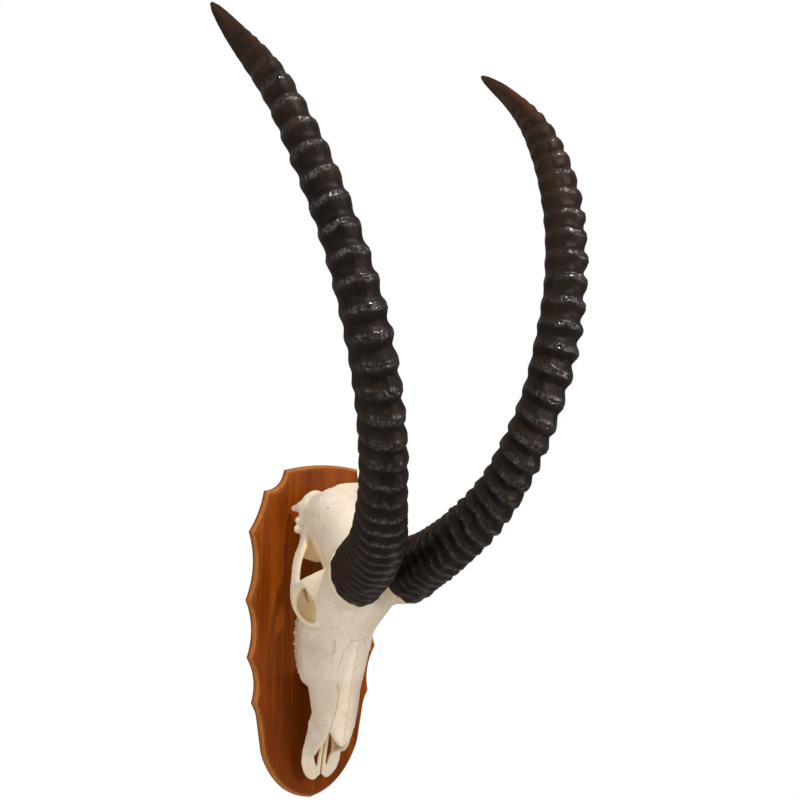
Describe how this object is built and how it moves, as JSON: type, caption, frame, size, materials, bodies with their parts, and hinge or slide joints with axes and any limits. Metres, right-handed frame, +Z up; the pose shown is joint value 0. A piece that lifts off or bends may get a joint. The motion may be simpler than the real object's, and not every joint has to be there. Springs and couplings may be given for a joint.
{
  "type": "sable antelope skull wall mount",
  "caption": "Bleached antelope skull with long back-curved ringed horns, hung nose down on a scalloped wooden wall plaque.",
  "frame": {"origin": "middle of the plaque's flat back, on the wall plane", "axes": "+Y into the wall, +Z up along the plaque, +X to the right of someone facing the wall; the skull and horns stand out towards -Y"},
  "size_m": [0.5074, 0.4003, 1.132],
  "materials": {
    "stained_wood": "satin",
    "bone": "matte",
    "horn": "satin",
    "tooth_enamel": "satin",
    "hanger_steel": "satin"
  },
  "bodies": {
    "root": {"plaque": "stained_wood", "skull": "bone", "horn_left": "horn", "horn_right": "horn", "tooth_left_1": "tooth_enamel", "tooth_left_2": "tooth_enamel", "tooth_left_3": "tooth_enamel", "tooth_left_4": "tooth_enamel", "tooth_left_5": "tooth_enamel", "tooth_left_6": "tooth_enamel", "tooth_right_1": "tooth_enamel", "tooth_right_2": "tooth_enamel", "tooth_right_3": "tooth_enamel", "tooth_right_4": "tooth_enamel", "tooth_right_5": "tooth_enamel", "tooth_right_6": "tooth_enamel", "hanger_plate": "hanger_steel", "hanger_screw_left": "hanger_steel", "hanger_screw_right": "hanger_steel", "skull_screw_lower": "hanger_steel", "skull_screw_upper": "hanger_steel"}
  },
  "joints": []
}
